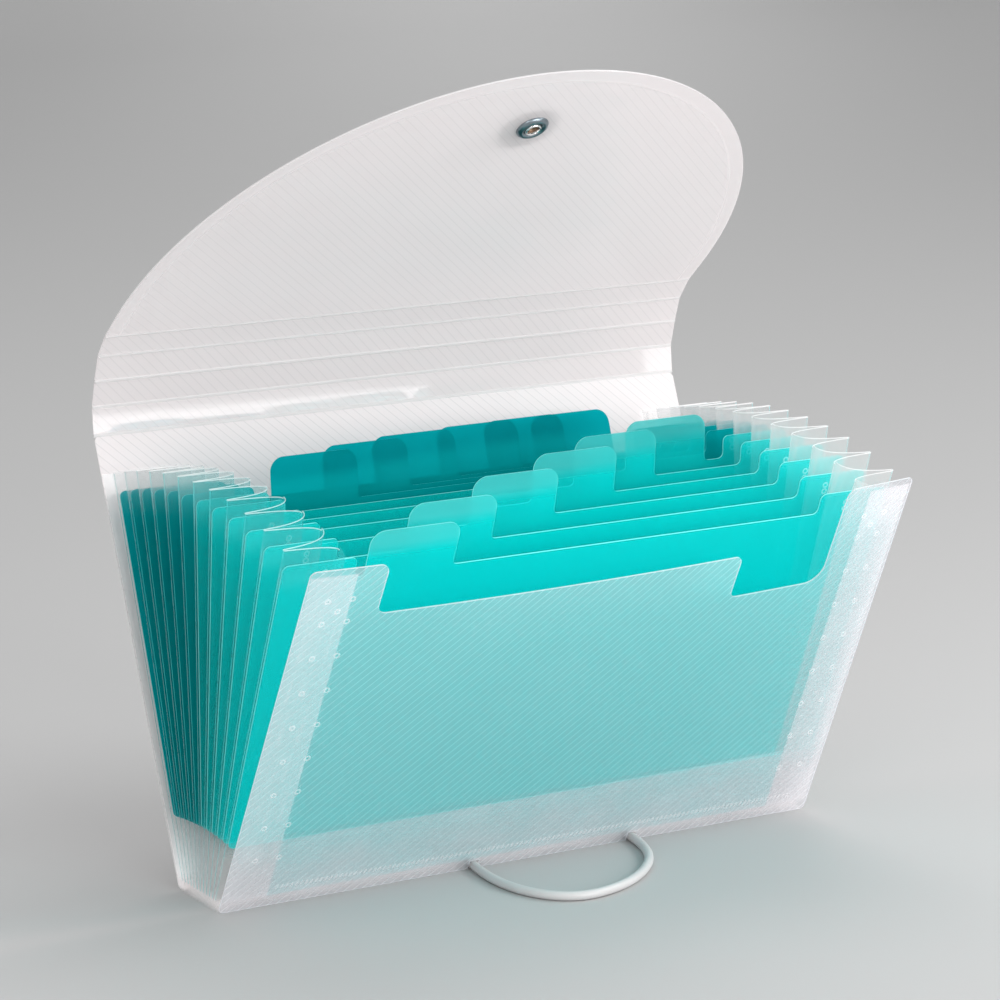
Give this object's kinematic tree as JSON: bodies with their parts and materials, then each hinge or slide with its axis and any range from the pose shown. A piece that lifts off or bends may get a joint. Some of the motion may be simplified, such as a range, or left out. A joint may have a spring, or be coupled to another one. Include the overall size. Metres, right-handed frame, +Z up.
{
  "type": "expanding file",
  "caption": "Desktop accordion file: translucent embossed covers, a creased flap with button and elastic loop, and a fan of coloured tabbed dividers held by a clear pleated gusset.",
  "frame": {"origin": "middle of the base, on the surface it stands on, under the middle pocket's lower fold", "axes": "X runs along the pockets, Y to the back, Z up"},
  "size_m": [0.33, 0.2236, 0.3862],
  "materials": {
    "cover_sheet": "translucent polypropylene, diagonal embossing",
    "front_divider": "translucent bright turquoise polypropylene",
    "rear_divider": "translucent deep teal polypropylene",
    "film": "thin clear polypropylene film",
    "eyelet": "bright plated metal",
    "button": "frosted plastic",
    "elastic": "smooth white elastic cord"
  },
  "bodies": {
    "base": {"base_gusset": "film", "elastic_loop": "elastic", "elastic_knots": "elastic"},
    "back": {"back_cover": "cover_sheet", "gusset_pleat_00": "film"},
    "front": {"front_cover": "cover_sheet", "gusset_pleat_13": "film"},
    "divider_01": {"divider_01": "rear_divider", "gusset_pleat_01": "film"},
    "divider_02": {"divider_02": "rear_divider", "gusset_pleat_02": "film"},
    "divider_03": {"divider_03": "rear_divider", "gusset_pleat_03": "film"},
    "divider_04": {"divider_04": "rear_divider", "gusset_pleat_04": "film"},
    "divider_05": {"divider_05": "rear_divider", "gusset_pleat_05": "film"},
    "divider_06": {"divider_06": "rear_divider", "gusset_pleat_06": "film"},
    "divider_07": {"divider_07": "front_divider", "gusset_pleat_07": "film"},
    "divider_08": {"divider_08": "front_divider", "gusset_pleat_08": "film"},
    "divider_09": {"divider_09": "front_divider", "gusset_pleat_09": "film"},
    "divider_10": {"divider_10": "front_divider", "gusset_pleat_10": "film"},
    "divider_11": {"divider_11": "front_divider", "gusset_pleat_11": "film"},
    "divider_12": {"divider_12": "front_divider", "gusset_pleat_12": "film"},
    "flap_band_1": {"flap_band_1": "cover_sheet"},
    "flap_band_2": {"flap_band_2": "cover_sheet"},
    "flap_band_3": {"flap_band_3": "cover_sheet"},
    "flap_band_4": {"flap_band_4": "cover_sheet"},
    "flap": {"flap_panel": "cover_sheet", "closure_button": "button", "closure_eyelet": "eyelet"}
  },
  "joints": [
    {"name": "front_fold", "type": "hinge", "parent": "base", "child": "front", "pos_m": [0, -0.02002, 0.0005], "axis": [1, 0, 0], "range_deg": [-24.8, 0], "deforming": ["gusset_pleat_00", "gusset_pleat_01", "gusset_pleat_02", "gusset_pleat_03", "gusset_pleat_04", "gusset_pleat_05", "gusset_pleat_06", "gusset_pleat_07", "gusset_pleat_08", "gusset_pleat_09", "gusset_pleat_10", "gusset_pleat_11", "gusset_pleat_12", "gusset_pleat_13"]},
    {"name": "divider_12_fold", "type": "hinge", "parent": "base", "child": "divider_12", "pos_m": [0, -0.01694, 0.006], "axis": [1, 0, 0], "range_deg": [-21.97, 0]},
    {"name": "divider_11_fold", "type": "hinge", "parent": "base", "child": "divider_11", "pos_m": [0, -0.01386, 0.006], "axis": [1, 0, 0], "range_deg": [-17.22, 0]},
    {"name": "divider_10_fold", "type": "hinge", "parent": "base", "child": "divider_10", "pos_m": [0, -0.01078, 0.006], "axis": [1, 0, 0], "range_deg": [-12.66, 0]},
    {"name": "divider_09_fold", "type": "hinge", "parent": "base", "child": "divider_09", "pos_m": [0, -0.0077, 0.006], "axis": [1, 0, 0], "range_deg": [-8.29, 0]},
    {"name": "divider_08_fold", "type": "hinge", "parent": "base", "child": "divider_08", "pos_m": [0, -0.00462, 0.006], "axis": [1, 0, 0], "range_deg": [-4.11, 0]},
    {"name": "divider_07_fold", "type": "hinge", "parent": "base", "child": "divider_07", "pos_m": [0, -0.00154, 0.006], "axis": [1, 0, 0], "range_deg": [-0.12, 0]},
    {"name": "divider_06_fold", "type": "hinge", "parent": "base", "child": "divider_06", "pos_m": [0, 0.00154, 0.006], "axis": [1, 0, 0], "range_deg": [0, 3.7]},
    {"name": "divider_05_fold", "type": "hinge", "parent": "base", "child": "divider_05", "pos_m": [0, 0.00462, 0.006], "axis": [1, 0, 0], "range_deg": [0, 7.31]},
    {"name": "divider_04_fold", "type": "hinge", "parent": "base", "child": "divider_04", "pos_m": [0, 0.0077, 0.006], "axis": [1, 0, 0], "range_deg": [0, 10.73]},
    {"name": "divider_03_fold", "type": "hinge", "parent": "base", "child": "divider_03", "pos_m": [0, 0.01078, 0.006], "axis": [1, 0, 0], "range_deg": [0, 13.96]},
    {"name": "divider_02_fold", "type": "hinge", "parent": "base", "child": "divider_02", "pos_m": [0, 0.01386, 0.006], "axis": [1, 0, 0], "range_deg": [0, 17]},
    {"name": "divider_01_fold", "type": "hinge", "parent": "base", "child": "divider_01", "pos_m": [0, 0.01694, 0.006], "axis": [1, 0, 0], "range_deg": [0, 19.85]},
    {"name": "back_fold", "type": "hinge", "parent": "base", "child": "back", "pos_m": [0, 0.02002, 0.0005], "axis": [1, 0, 0], "range_deg": [0, 22.51]},
    {"name": "flap_crease_1", "type": "hinge", "parent": "back", "child": "flap_band_1", "pos_m": [0, 0.10459, 0.20468], "axis": [1, 0, 0], "range_deg": [-44, 10]},
    {"name": "flap_crease_2", "type": "hinge", "parent": "flap_band_1", "child": "flap_band_2", "pos_m": [0, 0.10579, 0.21832], "axis": [1, 0, 0], "range_deg": [-44.01, 10.01]},
    {"name": "flap_crease_3", "type": "hinge", "parent": "flap_band_2", "child": "flap_band_3", "pos_m": [0, 0.10224, 0.23156], "axis": [1, 0, 0], "range_deg": [-44.01, 10.01]},
    {"name": "flap_crease_4", "type": "hinge", "parent": "flap_band_3", "child": "flap_band_4", "pos_m": [0, 0.09778, 0.24451], "axis": [1, 0, 0], "range_deg": [-44.01, 10.01]},
    {"name": "flap_crease_5", "type": "hinge", "parent": "flap_band_4", "child": "flap", "pos_m": [0, 0.08935, 0.25531], "axis": [1, 0, 0], "range_deg": [-44.01, 10.01]}
  ],
  "couplings": [
    {"joint": "divider_12_fold", "follows": "front_fold", "ratio": 0.88548},
    {"joint": "divider_11_fold", "follows": "front_fold", "ratio": 0.69395},
    {"joint": "divider_10_fold", "follows": "front_fold", "ratio": 0.51008},
    {"joint": "divider_09_fold", "follows": "front_fold", "ratio": 0.33387},
    {"joint": "divider_08_fold", "follows": "front_fold", "ratio": 0.16532},
    {"joint": "divider_07_fold", "follows": "front_fold", "ratio": 0.004435},
    {"joint": "divider_06_fold", "follows": "front_fold", "ratio": -0.14879},
    {"joint": "divider_05_fold", "follows": "front_fold", "ratio": -0.29435},
    {"joint": "divider_04_fold", "follows": "front_fold", "ratio": -0.43226},
    {"joint": "divider_03_fold", "follows": "front_fold", "ratio": -0.5625},
    {"joint": "divider_02_fold", "follows": "front_fold", "ratio": -0.68508},
    {"joint": "divider_01_fold", "follows": "front_fold", "ratio": -0.8},
    {"joint": "back_fold", "follows": "front_fold", "ratio": -0.90726},
    {"joint": "flap_crease_2", "follows": "flap_crease_1", "ratio": 1},
    {"joint": "flap_crease_3", "follows": "flap_crease_1", "ratio": 1},
    {"joint": "flap_crease_4", "follows": "flap_crease_1", "ratio": 1},
    {"joint": "flap_crease_5", "follows": "flap_crease_1", "ratio": 1}
  ]
}
